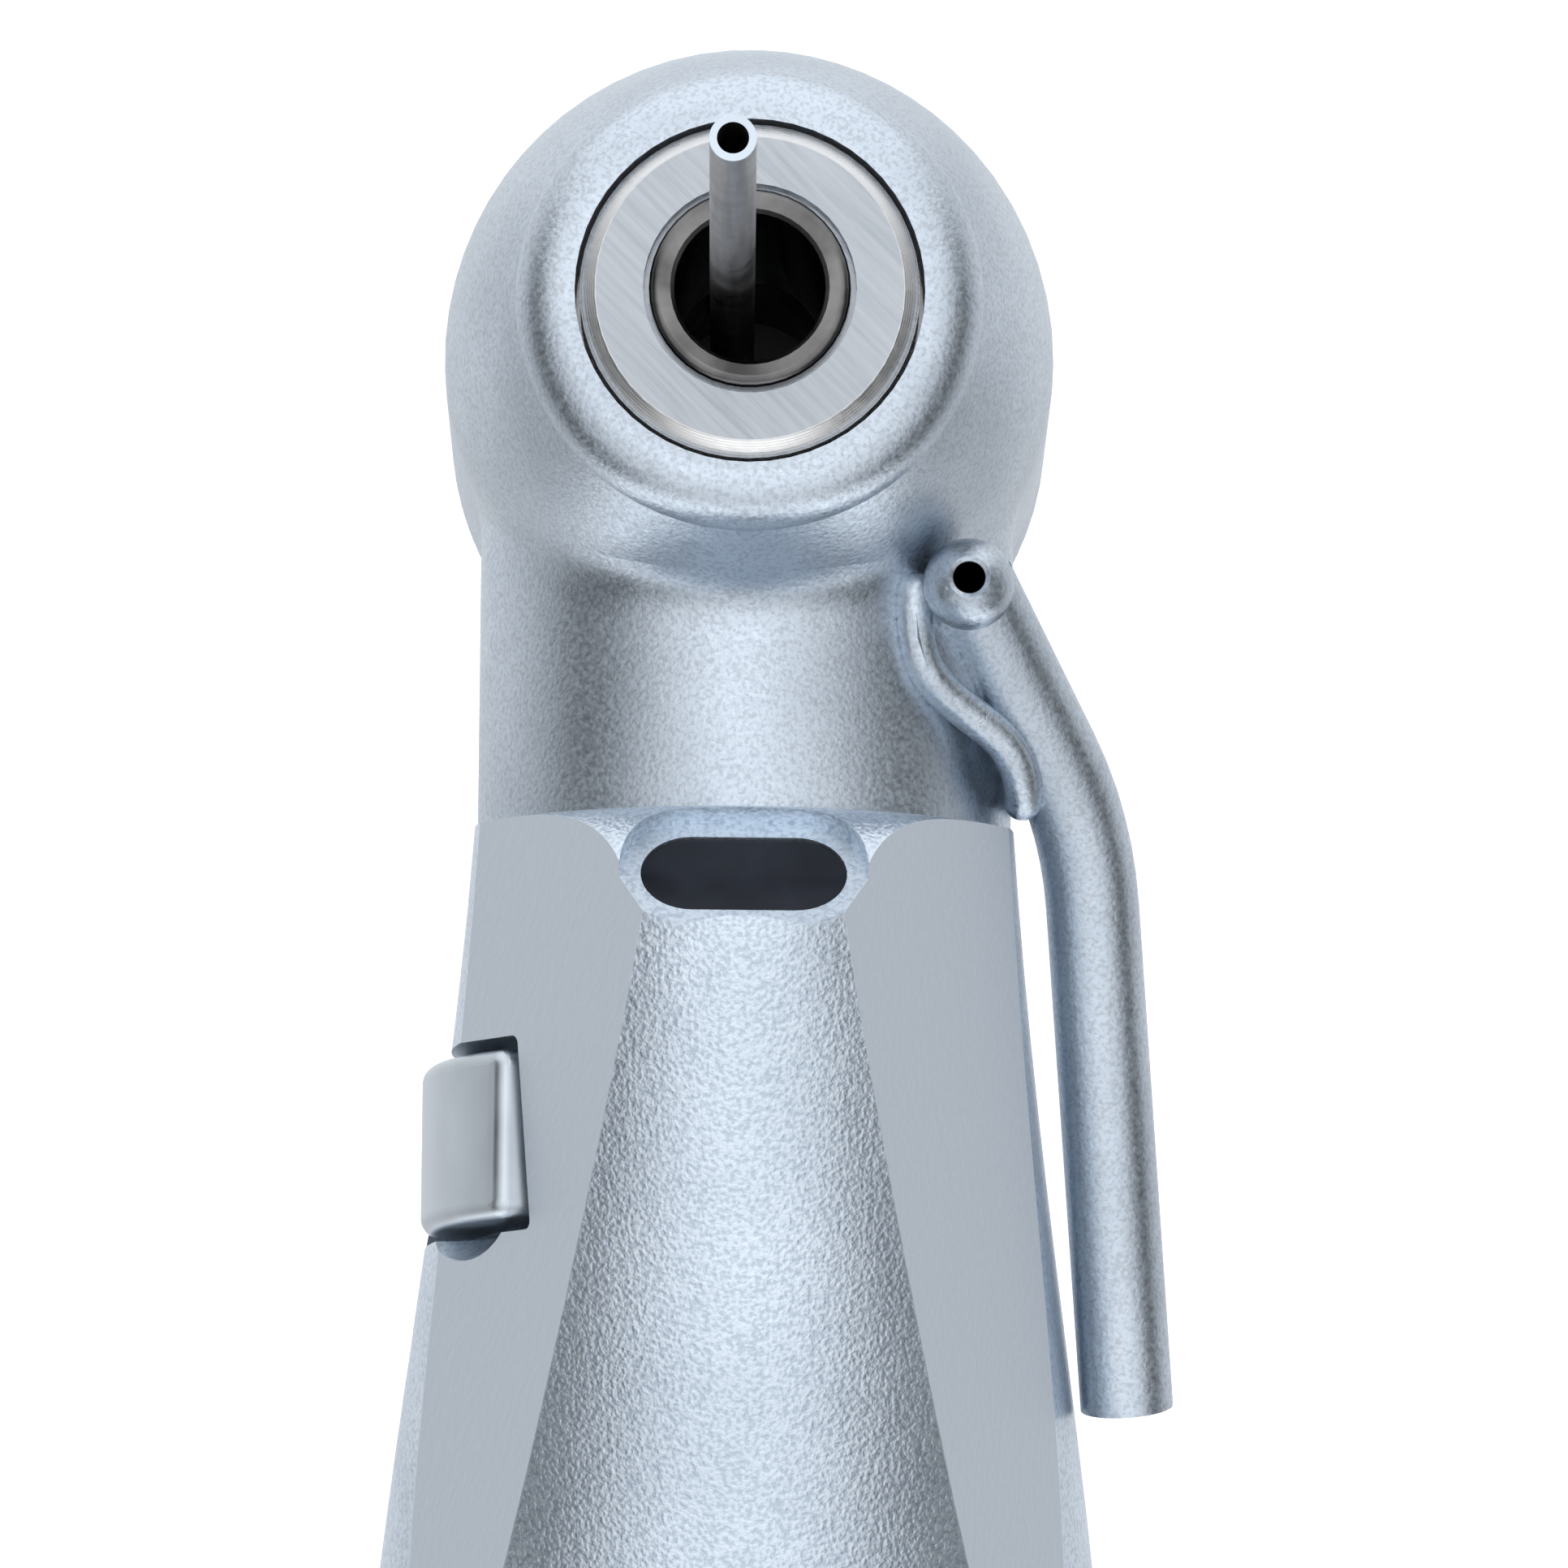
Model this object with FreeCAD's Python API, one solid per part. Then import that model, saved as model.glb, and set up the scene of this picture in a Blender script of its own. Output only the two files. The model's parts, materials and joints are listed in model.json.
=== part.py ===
import FreeCAD, Part
import math
import os
from FreeCAD import Placement, Rotation, Vector

# A contra-angle surgical handpiece for drilling bone: a steel head that carries a drill chuck,
# a short neck, and a handle that plugs on to a small motor. Lengths are in millimetres and
# angles in degrees. Frame: the origin is the centre of the motor socket's mouth, +Z runs up
# the handle, and the chuck opens towards -Y.

# layout of the three axes
bend_height = 76.0  # socket mouth to the bend, along the handle
contra_angle = 21.4  # the neck leans back from the handle by this
neck_reach = 10.5  # bend to the chuck axis, along the neck
head_lean = 2.6  # the chuck axis leans up from square to the neck by this
running_gap = 0.04

# head housing, measured along the chuck axis from the neck axis
nose_height = 6.5
nose_bore_radius = 2.715
nose_rim_radius = 2.85
nose_round = 0.8
head_radius = 4.84
head_widest_height = 0.85  # the swell ends here
head_rear_height = 4.6  # behind the neck axis
head_wall = 0.95
nose_lip = 1.5
cap_length = 1.8
cap_end_radius = 4.3
cap_spigot_length = 1.7

# neck, measured along the neck axis from the bend
neck_radius = 4.24
seam_height = 2.97
neck_fillet = 1.1
spigot_length = 1.0

# chuck spindle
spindle_nose_radius = 2.64
spindle_proud = 0.14
spindle_chamfer = 0.235
spindle_radius = 2.2
spindle_tail_radius = 2.0
chuck_sleeve_radius = 1.565
chuck_bore_radius = 1.175
chuck_sleeve_proud = 0.12
chuck_lip_round = 0.16
chuck_sleeve_length = 5.2
jaw_radius = 1.7
jaw_length = 3.2
jaw_slot = 0.3

# ball bearings, by outer radius and width; each is sealed by its shields
front_bearing_radius = 3.4
front_bearing_width = 1.7
rear_bearing_radius = 3.1
rear_bearing_width = 1.3
neck_bearing_radius = 2.4
neck_bearing_width = 1.4
shaft_bearing_radius = 2.9
shaft_bearing_width = 1.6
input_bearing_radius = 3.5
input_bearing_width = 2.0
race_share = 0.28  # part of a bearing's section that each race takes

# bevel gears at the bend and in the head
tooth_share = 0.38  # tooth thickness over pitch
tooth_tip = 0.8  # tip height over the module
tooth_root = 1.05  # root depth over the module
bend_teeth = 18
bend_gear_radius = 2.6
bend_gear_face = 0.85
pinion_teeth = 9
spindle_gear_teeth = 30
spindle_gear_radius = 3.6
head_gear_face = 1.2
gear_rim = 0.55
bend_bay_depth = 1.75
bend_bay_radius = 2.85
upper_shaft_radius = 1.1

# planetary gear in the handle
sun_teeth = 9
planet_teeth = 18
planet_count = 3
gear_module = 0.22
gearbox_height = 46.0  # lower end of the ring gear
ring_gear_length = 4.4
ring_gear_rim = 0.6
planet_length = 3.4
planet_pin_radius = 0.5
carrier_radius = 4.3
carrier_thickness = 1.1
lower_shaft_radius = 1.3
input_shaft_radius = 1.5

# irrigation tube through the chuck
irrigation_radius = 0.35
irrigation_bore = 0.2375
irrigation_reach = 10.7  # in front of the nose
irrigation_offset = 0.27  # it rests to one side until a hollow drill centres it
irrigation_back = 9.2  # behind the neck axis, where it turns down
irrigation_bend = 1.4
irrigation_turn = 4.6  # from the chuck axis down to where it slants in
irrigation_slant = 2.0  # how far it comes in and down between its bends
irrigation_end = 9.0  # from the chuck axis down to its inlet
saddle_half_angle = 60.0
saddle_drop = 6.75  # below the chuck axis, along the neck
saddle_width = 1.2
saddle_thickness = 0.32
stalk_width = 1.3
stalk_overhang = 0.55  # beyond the tube's centre line

# push button at the back of the head
button_radius = 3.0
button_flange = 0.3
button_proud = 0.75
button_crown = 0.45
button_travel = 0.6
spring_wire = 0.16

# spray tube and nozzle
spray_radius = 0.74
spray_bore = 0.45
spray_bend = 6.0
# its lower end: right, back and up from the bend
spray_foot = (6.2, -0.4, -6.1)
# its bend and its upper end: right, in front of the neck axis, and down the neck from the chuck axis
spray_elbow = (5.42, 1.0, 7.3)
spray_tip = (3.48, 3.2, 3.81)
nozzle_centre = (3.47, 3.72, 3.88)  # measured as the tube's tip is
nozzle_radius = 0.72
nozzle_bore = 0.25
nozzle_mouth_radius = 0.33
nozzle_mouth_angle = 60.0  # of its countersink, from the bore's axis
nozzle_cone = 0.3
web_ridge_radius = 0.3
web_thickness = 0.36
# the web's front edge, measured as the tube's tip is
web_ridge_points = [
    (2.63, 3.48, 3.96),
    (2.68, 3.41, 4.74),
    (2.85, 3.29, 5.22),
    (3.17, 3.08, 5.55),
    (3.61, 2.83, 5.87),
    (4.01, 2.61, 6.18),
    (4.25, 2.41, 6.5),
    (4.36, 2.16, 6.81),
    (4.38, 1.89, 7.07),
]

# front sleeve; heights are from the bend
sleeve_foot = gearbox_height - 4.0  # the rear sleeve reaches into the front one
dome_reach = 1.5  # the shoulder swells by this
dome_drop = 0.95  # over this height
flat_angle = 56.0  # each finger flat faces this far from the front
flat_distance = 4.526  # from the handle axis to a flat, level with the bend
flat_lean = 7.62
flat_length = 15.0
# half width, reach to the front, reach to the back, and height from the bend of its sections above the foot
sleeve_sections = [
    (7.2, 7.2, 7.2, -26.0),
    (6.55, 6.55, 6.55, -18.0),
    (5.72, 6.0, 5.85, -9.0),
    (5.0, 5.72, 5.2, -3.5),
    (4.32, 5.42, 5.1, 2.5),
    (4.1, 5.2, 5.9, 6.0),
]
window_length = 3.2
window_width = 1.6
window_slope = 60.0
window_forward = 4.33
window_rise = 3.72
window_rim = 0.33
window_dish = 0.08
window_depth = 1.6

# release button on the left
release_angle = 73.0  # the button slides in this far round from the front
release_width = 4.3
release_height = 2.66
release_rise = -2.1  # from the bend to where the slide axis meets the handle axis
release_reach = 5.08  # radius of the button's round face
release_depth = 1.2
release_travel = 0.5
release_gap = 0.19
release_corner = 0.28
thumb_scoop_radius = 1.8
# its centre lies this far forward, down and out from the middle of the button's face
thumb_scoop_shift = 0.8
thumb_scoop_drop = 0.3
thumb_scoop_lift = 0.4

# rear sleeve and motor socket
handle_radius = 7.7
tail_radius = 8.2
ring_height = 1.6
ring_inset = 0.15
grip_rings = 6
grip_pitch = 2.2
grip_groove = 0.8
socket_radius = 5.2
socket_depth = 19.0
socket_wall = 0.9
dog_radius = 2.5
dog_length = 3.4
dog_slot_width = 1.0
dog_slot_depth = 1.3
dog_recess = 1.3  # above the socket's floor
shaft_recess = 3.0

X = Vector(1, 0, 0)
Z = Vector(0, 0, 1)


# frames
def frame(origin, tilt):
    """A frame whose Z axis leans by tilt degrees from vertical towards -Y."""
    return Placement(origin, Rotation(X, tilt))


bend = Vector(0, 0, bend_height)
handle = frame(Vector(0, 0, 0), 0)
at_bend = frame(bend, 0)
neck = frame(bend, -contra_angle)
head_centre = neck.multVec(Vector(0, 0, neck_reach))
chuck = frame(head_centre, 90 - contra_angle - head_lean)


def put(shape, place):
    """Move a shape drawn at the origin to a frame."""
    moved = shape.copy()
    moved.Placement = place.multiply(moved.Placement)
    return moved


def turn(shape, angle):
    """A copy turned about Z."""
    moved = shape.copy()
    moved.rotate(Vector(0, 0, 0), Z, angle)
    return moved


# simple solids
def rod(radius, low, high):
    """A round bar about Z between two heights."""
    return Part.makeCylinder(radius, high - low, Vector(0, 0, low))


def ring(outer, inner, low, high):
    """A plain ring about Z between two heights."""
    return rod(outer, low, high).cut(rod(inner, low - 1, high + 1))


def turned(points):
    """A solid of revolution about Z from (radius, height) corners."""
    wire = Part.makePolygon([Vector(r, 0, z) for r, z in points + points[:1]])
    return Part.Face(wire).revolve(Vector(0, 0, 0), Z, 360)


def arc(start, middle, end):
    """A circular arc through three (radius, height) points."""
    return Part.Arc(*[Vector(r, 0, z) for r, z in (start, middle, end)]).toShape()


def line(start, end):
    """A straight edge between two (radius, height) points."""
    return Part.makeLine(Vector(start[0], 0, start[1]), Vector(end[0], 0, end[1]))


def revolved(edges):
    """A solid of revolution about Z from a closed outline of edges."""
    return Part.Face(Part.Wire(edges)).revolve(Vector(0, 0, 0), Z, 360)


def fuse(shapes):
    """One solid from overlapping shapes."""
    joined = shapes[0].multiFuse(shapes[1:]) if len(shapes) > 1 else shapes[0]
    return joined.removeSplitter()


def save(name, shape):
    """Write one sub-part to its own STEP file."""
    shape.exportStep(os.path.join("parts", name + ".step"))


# head
def head_outline():
    """The housing's outer form: a rounded nose that swells to a round body with tail to spare."""
    edge = nose_height - nose_round
    shoulder = nose_rim_radius + nose_round
    length = edge - head_widest_height
    swell = ((head_radius - shoulder) ** 2 + length**2) / (2 * (head_radius - shoulder))
    bulge = (head_radius - swell + math.sqrt(swell**2 - length**2 / 4), head_widest_height + length / 2)
    slope = nose_round * (1 - math.sqrt(0.5))
    rounding = (shoulder - slope, nose_height - slope)
    spare = head_rear_height + neck_radius
    return revolved([
        line((0, nose_height), (nose_rim_radius, nose_height)),
        arc((nose_rim_radius, nose_height), rounding, (shoulder, edge)),
        arc((shoulder, edge), bulge, (head_radius, head_widest_height)),
        line((head_radius, head_widest_height), (head_radius, -spare)),
        line((head_radius, -spare), (0, -spare)),
        line((0, -spare), (0, nose_height)),
    ])


def head_housing():
    """The head and neck in one piece, bored from the back for the spindle and from below for the shaft."""
    body = head_form()
    spigot = put(rod(spigot_radius(), seam_height - spigot_length, seam_height + 0.1), neck)
    body = body.fuse(spigot)
    bearing_seat = nose_height - nose_lip
    cuts = [
        put(rod(nose_bore_radius, bearing_seat - 1, nose_height + 1), chuck),
        put(rod(front_bearing_radius, 0, bearing_seat), chuck),
        put(rod(head_bore(), -head_rear_height - 1, 2.2), chuck),
        put(rod(neck_bearing_radius, 0, pinion_shelf()), neck),
        put(rod(pinion_tip_radius() + 0.12, 0, neck_reach), neck),
    ]
    return fuse([body]).cut(cuts)


def head_form():
    """The outer form of the head and neck, with a fillet between them."""
    barrel = put(head_outline(), chuck)
    stem = put(turn(rod(neck_radius, seam_height, neck_reach), 90), neck)
    body = barrel.fuse(stem)
    body = body.makeFillet(neck_fillet, [e for e in body.Edges if is_neck_seam(e)])
    behind = rod(head_radius + neck_fillet + 0.4, -3 * head_rear_height, -head_rear_height)
    return body.cut(put(behind, chuck))


def is_neck_seam(edge):
    """True for the curves where the neck runs into the head's barrel."""
    middle = (edge.FirstParameter + edge.LastParameter) / 2
    marks = (edge.FirstParameter, middle, edge.LastParameter)
    points = [neck.inverse().multVec(edge.valueAt(mark)) for mark in marks]
    on_neck = all(abs(math.hypot(p.x, p.y) - neck_radius) < 0.001 for p in points)
    return on_neck and min(p.z for p in points) > seam_height + 0.1 and edge.Curve.TypeId != "Part::GeomLine"


def head_bore():
    """Radius of the gear's bay in the head."""
    return head_radius - head_wall


def spigot_radius():
    """The neck's spigot fits the sleeve's mouth."""
    return neck_bearing_radius + 0.6


def pinion_shelf():
    """Height of the shelf that holds the upper neck bearing."""
    return neck_reach - head_cone_distance() - 0.4


def head_cone_distance():
    """From the crossing of the head gears' axes to the outer end of their teeth."""
    angle = cone_angle(spindle_gear_teeth, pinion_teeth, 90 - head_lean)
    return spindle_gear_radius / math.sin(math.radians(angle))


def cone_angle(own_teeth, other_teeth, shaft_angle):
    """Pitch cone angle of a bevel gear that meets another at a shaft angle."""
    angle = math.radians(shaft_angle)
    return math.degrees(math.atan2(math.sin(angle), other_teeth / own_teeth + math.cos(angle)))


def pinion_tip_radius():
    """Outer radius of the pinion's teeth."""
    module = 2 * spindle_gear_radius / spindle_gear_teeth
    return module * pinion_teeth / 2 + 0.9 * module


def head_cap():
    """The screwed cap that closes the head's back, seats the rear bearing and guides the push button."""
    rear = -head_rear_height
    end = rear - cap_length
    chamfer = 0.25
    outer = [
        (head_bore(), rear + cap_spigot_length),
        (head_bore(), rear),
        (head_radius, rear),
        (cap_end_radius + 0.1, end + chamfer),
        (cap_end_radius - chamfer, end),
        (button_radius + running_gap, end),
        (button_radius + running_gap, end + 0.45),
        (button_radius + button_flange + running_gap, end + 0.45),
        (button_radius + button_flange + running_gap, button_cavity()),
        (rear_bearing_radius - 0.5, button_cavity()),
        (rear_bearing_radius - 0.5, rear_bearing_low()),
        (rear_bearing_radius, rear_bearing_low()),
        (rear_bearing_radius, rear + cap_spigot_length),
    ]
    return put(turned(outer), chuck)


def rear_bearing_low():
    """Height of the rear bearing's back face, along the chuck axis."""
    return -head_rear_height + cap_spigot_length - rear_bearing_width


def button_cavity():
    """Front wall of the button's room in the cap."""
    return rear_bearing_low() - 0.15


# bearings
def outer_race(outer, inner, low, width):
    """The outer race with its shields, which close the bearing down to the inner race."""
    lip = inner + (outer - inner) * race_share + running_gap
    return ring(outer, lip, low, low + width)


def inner_race(outer, inner, low, width):
    """The inner race, a running fit inside the shields."""
    wall = (outer - inner) * race_share
    return ring(inner + wall, inner, low, low + width)


# gears
def bevel_gear(teeth, radius, cone_degrees, face, hub, back, bore, phase):
    """A bevel gear with its apex at the origin and its body towards +Z; tooth 0 points to the phase angle."""
    module = 2 * radius / teeth
    angle = math.radians(cone_degrees)
    along = Vector(math.sin(angle), 0, math.cos(angle))
    outward = Vector(math.cos(angle), 0, -math.sin(angle))
    distance = radius / math.sin(angle)
    inner = (distance - face) / distance
    sections = []
    for scale in (1, inner):
        half = tooth_share * math.pi * module / 2
        slope = math.tan(math.radians(20)) * module
        corners = [
            (-half - tooth_root * slope, -tooth_root - 0.2),
            (half + tooth_root * slope, -tooth_root - 0.2),
            (half - tooth_tip * slope, tooth_tip),
            (-half + tooth_tip * slope, tooth_tip),
        ]
        points = [(along * distance + Vector(0, y, 0) + outward * v * module) * scale for y, v in corners]
        sections.append(Part.makePolygon(points + points[:1]))
    tooth = Part.makeLoft(sections, True, True)
    low = along * distance - outward * tooth_root * module
    toe = low * inner
    heel = low - outward * gear_rim
    outline = [(bore, toe.z), (toe.x, toe.z), (low.x, low.z), (heel.x, heel.z)]
    if heel.x > hub:
        outline.append((hub, heel.z))
    outline += [(hub, back), (bore, back)]
    body = turned(outline)
    copies = [turn(tooth, phase + 360.0 * number / teeth) for number in range(teeth)]
    return body.multiFuse(copies)


def pinion():
    """The small gear on the upper shaft's end, with its apex at the origin."""
    cone_degrees = cone_angle(pinion_teeth, spindle_gear_teeth, 90 - head_lean)
    radius = spindle_gear_radius * pinion_teeth / spindle_gear_teeth
    shelf = neck_reach - pinion_shelf()
    turn = 180 / pinion_teeth - 90
    return bevel_gear(pinion_teeth, radius, cone_degrees, head_gear_face, 0.8, shelf, 0, turn)


def spur_outline(teeth, tip_radius, root_radius, half_share, phase):
    """The closed outline of a straight-flanked spur gear."""
    points = []
    pitch_radius = gear_module * teeth / 2
    pitch_angle = 2 * math.pi / teeth
    for number in range(teeth):
        centre = math.radians(phase) + number * pitch_angle
        for side in (-1, 1):
            corners = [root_radius, tip_radius] if side < 0 else [tip_radius, root_radius]
            for radius in corners:
                half = half_share * pitch_radius * pitch_angle
                half += (pitch_radius - radius) * math.tan(math.radians(22))
                swing = centre + side * half / radius
                points.append(Vector(radius * math.cos(swing), radius * math.sin(swing), 0))
    return Part.Face(Part.makePolygon(points + points[:1]))


def spur_gear(teeth, low, high, bore, phase):
    """An outside spur gear between two heights."""
    radius = gear_module * teeth / 2
    tip = radius + 0.8 * gear_module
    root = radius - 1.1 * gear_module
    outline = spur_outline(teeth, tip, root, tooth_share / 2, phase)
    gear = outline.extrude(Vector(0, 0, high - low))
    gear.translate(Vector(0, 0, low))
    if bore > 0:
        gear = gear.cut(rod(bore, low - 1, high + 1))
    return gear


def ring_gear():
    """The fixed ring gear, with its teeth pointing in."""
    radius = gear_module * ring_teeth() / 2
    tip = radius + 1.1 * gear_module
    space = spur_outline(ring_teeth(), tip, radius - 0.8 * gear_module, 0.5 - tooth_share / 2, 0)
    low = gearbox_height
    high = low + ring_gear_length
    hollow = space.extrude(Vector(0, 0, high - low + 2))
    hollow.translate(Vector(0, 0, low - 1))
    return rod(gearbox_radius(), low, high).cut(hollow)


def ring_teeth():
    """The planets fill the room between the sun and the ring gear."""
    return sun_teeth + 2 * planet_teeth


def gearbox_radius():
    """Outer radius of the ring gear."""
    return gear_module * ring_teeth() / 2 + 1.1 * gear_module + ring_gear_rim


def planet_reach():
    """From the handle axis to a planet gear's axis."""
    return gear_module * (sun_teeth + planet_teeth) / 2


def planet_gear(number):
    """One planet gear on its pin; a tooth points to the ring gear."""
    angle = 360.0 * number / planet_count
    high = gearbox_height + ring_gear_length - 0.25
    gear = spur_gear(planet_teeth, high - planet_length, high, planet_pin_radius + running_gap, 0)
    gear.translate(Vector(planet_reach(), 0, 0))
    return turn(gear, angle)


def planet_pin(number):
    """The pin that carries a planet gear, pressed into the carrier; its head keeps the gear on."""
    high = gearbox_height + ring_gear_length
    head = rod(planet_pin_radius + 0.35, high - planet_length - 0.55, high - planet_length - 0.3)
    stem = rod(planet_pin_radius, high - planet_length - 0.3, carrier_low())
    pin = head.fuse(stem).removeSplitter()
    pin.translate(Vector(planet_reach(), 0, 0))
    return turn(pin, 360.0 * number / planet_count)


def carrier_low():
    """Height of the carrier's lower face."""
    return gearbox_height + ring_gear_length + 0.1


def planet_carrier():
    """The carrier disc, which turns the lower shaft."""
    low = carrier_low()
    disc = rod(carrier_radius, low, low + carrier_thickness)
    return disc.fuse(rod(lower_shaft_radius + 0.8, low, rear_shaft_bearing())).removeSplitter()


def rear_shaft_bearing():
    """Height of the lower shaft's rear bearing."""
    return carrier_low() + carrier_thickness + 0.5


def front_shaft_bearing():
    """Height of the lower shaft's front bearing, just below the bend gears."""
    return bend_height - bend_bay_depth - shaft_bearing_width


def bend_gear_angle():
    """The pitch cone's half angle on either bevel gear at the bend."""
    return 90 - contra_angle / 2


def lower_shaft():
    """The shaft from the planet carrier to the lower bend gear."""
    back = bend_bay_depth
    bore = lower_shaft_radius + 0.3
    gear = bevel_gear(bend_teeth, bend_gear_radius, bend_gear_angle(), bend_gear_face, bore, back, 0, 0)
    gear.rotate(Vector(0, 0, 0), X, 180)
    gear.translate(bend)
    return gear.fuse(rod(lower_shaft_radius, rear_shaft_bearing(), bend_height - back))


def upper_shaft():
    """The shaft in the neck, from the upper bend gear to the pinion under the chuck."""
    bore = upper_shaft_radius + 0.3
    back = neck_bearing_low()
    gear = bevel_gear(bend_teeth, bend_gear_radius, bend_gear_angle(), bend_gear_face, bore, back, 0, 90)
    end = pinion()
    end.rotate(Vector(0, 0, 0), X, 180)
    end.translate(Vector(0, 0, neck_reach))
    return put(gear.fuse([rod(upper_shaft_radius, neck_bearing_low(), pinion_shelf()), end]), neck)


def neck_bearing_low():
    """Height of the lower neck bearing above the bend."""
    return seam_height - spigot_length + 0.2


def spindle_gear():
    """The large gear behind the spindle's collar."""
    gear = bevel_gear(spindle_gear_teeth, spindle_gear_radius, head_cone_angle(), head_gear_face, 3.0,
                      gear_back(), spindle_tail_radius, 90)
    gear.rotate(Vector(0, 0, 0), X, 180)
    return put(gear, chuck)


def head_cone_angle():
    """Pitch cone angle of the spindle's gear."""
    return cone_angle(spindle_gear_teeth, pinion_teeth, 90 - head_lean)


def gear_back():
    """The gear's hub bears on the rear bearing's inner race."""
    return -rear_bearing_low() - rear_bearing_width


def gear_front():
    """Front of the spindle gear's hub, behind the neck axis."""
    module = 2 * spindle_gear_radius / spindle_gear_teeth
    angle = math.radians(head_cone_angle())
    distance = head_cone_distance()
    low = distance * math.cos(angle) + tooth_root * module * math.sin(angle)
    return low * (distance - head_gear_face) / distance


# spindle and chuck
def spindle():
    """The chuck spindle: a broad face that fills the nose, a bearing seat and a tail through the gear."""
    face = nose_height + spindle_proud
    seat = nose_height - nose_lip
    outline = [
        (chuck_sleeve_radius + 0.09, face),
        (spindle_nose_radius - spindle_chamfer, face),
        (spindle_nose_radius, face - spindle_chamfer),
        (spindle_nose_radius, seat + 0.08),
        (spindle_radius + 0.3, seat),
        (spindle_radius, seat),
        (spindle_radius, -gear_front()),
        (spindle_tail_radius, -gear_front()),
        (spindle_tail_radius, rear_bearing_low()),
        (jaw_radius, rear_bearing_low()),
        (jaw_radius, chuck_sleeve_low()),
        (chuck_sleeve_radius, chuck_sleeve_low()),
        (chuck_sleeve_radius, face - 0.3),
        (chuck_sleeve_radius + 0.09, face - 0.3),
    ]
    return put(turned(outline), chuck)


def chuck_sleeve_low():
    """Inner end of the chuck's guide sleeve."""
    return nose_height + spindle_proud + chuck_sleeve_proud - chuck_sleeve_length


def chuck_sleeve():
    """The guide sleeve with a rounded lip, bored for the drill's shank."""
    top = nose_height + spindle_proud + chuck_sleeve_proud
    low = chuck_sleeve_low()
    r = chuck_lip_round
    bevel = r * (1 - math.sqrt(0.5))
    outer = chuck_sleeve_radius
    inner = chuck_bore_radius
    body = revolved([
        line((inner, low), (outer, low)),
        line((outer, low), (outer, top - r)),
        arc((outer, top - r), (outer - bevel, top - bevel), (outer - r, top)),
        line((outer - r, top), (inner + 0.06, top)),
        line((inner + 0.06, top), (inner, top - 0.06)),
        line((inner, top - 0.06), (inner, low)),
    ])
    return put(body, chuck)


def chuck_jaws():
    """The slit collet that grips the shank behind the guide sleeve."""
    high = chuck_sleeve_low()
    body = ring(jaw_radius, chuck_bore_radius, high - jaw_length, high)
    for number in range(3):
        corner = Vector(0, -jaw_slot / 2, high - jaw_length + 0.6)
        slot = Part.makeBox(jaw_radius + 1, jaw_slot, jaw_length, corner)
        body = body.cut(turn(slot, 120.0 * number))
    return put(body, chuck)


def chuck_plunger():
    """The sliding sleeve behind the jaws; the push button drives it forward to free the drill."""
    high = chuck_sleeve_low() - jaw_length
    return put(ring(jaw_radius, 0.65, rear_bearing_low() + button_travel + 0.1, high), chuck)


# push button
def push_button():
    """The domed cap at the back of the head, drilled for the irrigation tube."""
    rest = -head_rear_height - cap_length + 0.45
    end = -head_rear_height - cap_length - button_proud
    crown = end + button_crown
    outer = button_radius + button_flange
    stem = 1.0
    reach = rear_bearing_low() + 0.05
    body = revolved([
        line((0, reach), (stem, reach)),
        line((stem, reach), (stem, rest + 0.3)),
        line((stem, rest + 0.3), (outer, rest + 0.3)),
        line((outer, rest + 0.3), (outer, rest)),
        line((outer, rest), (button_radius, rest)),
        line((button_radius, rest), (button_radius, crown)),
        arc((button_radius, crown), (button_radius - 0.3, crown - 0.3), (button_radius * 0.6, end + 0.03)),
        line((button_radius * 0.6, end + 0.03), (0, end)),
        line((0, end), (0, reach)),
    ])
    hole = rod(irrigation_radius + 0.1, end - 1, reach + 1)
    hole.translate(Vector(-irrigation_offset, 0, 0))
    return put(body.cut(hole), chuck)


def button_spring():
    """A cone spring between the cap and the button's flange."""
    front = button_cavity()
    back = -head_rear_height - cap_length + 0.75
    wide = button_radius + 0.1
    narrow = rear_bearing_radius - 0.4
    outline = [
        (narrow - spring_wire, front),
        (narrow, front),
        (wide, back),
        (wide - spring_wire, back),
    ]
    return put(turned(outline), chuck)


# pipes
def bent_path(points, radius):
    """A wire through the points, with each corner rounded."""
    edges = []
    start = points[0]
    for before, corner, after in zip(points, points[1:], points[2:]):
        into = (corner - before).normalize()
        out = (after - corner).normalize()
        half = into.getAngle(out) / 2
        back = radius * math.tan(half)
        first = corner - into * back
        last = corner + out * back
        centre = corner + (out - into).normalize() * (radius / math.cos(half))
        middle = centre + (corner - centre).normalize() * radius
        edges.append(Part.makeLine(start, first))
        edges.append(Part.Arc(first, middle, last).toShape())
        start = last
    edges.append(Part.makeLine(start, points[-1]))
    return Part.Wire(edges)


def pipe(path, radius):
    """A round bar along a wire."""
    start = path.Edges[0]
    first = start.FirstParameter
    section = Part.Wire([Part.makeCircle(radius, start.valueAt(first), start.tangentAt(first))])
    return path.makePipeShell([section], True, False)


def irrigation_path():
    """Out in front of the chuck, back through the button, then down behind the neck, in the chuck's frame."""
    side = -irrigation_offset
    back = -irrigation_back
    return [
        Vector(side, 0, nose_height + irrigation_reach),
        Vector(side, 0, back),
        Vector(side, -irrigation_turn, back),
        Vector(side, -irrigation_turn - irrigation_slant, back + irrigation_slant),
        Vector(side, -irrigation_end, back + irrigation_slant),
    ]


def irrigation_tube():
    """The thin steel tube that brings saline through a hollow drill."""
    path = bent_path(irrigation_path(), irrigation_bend)
    tube = pipe(path, irrigation_radius)
    return put(tube.cut(pipe(path, irrigation_bore)), chuck)


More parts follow.
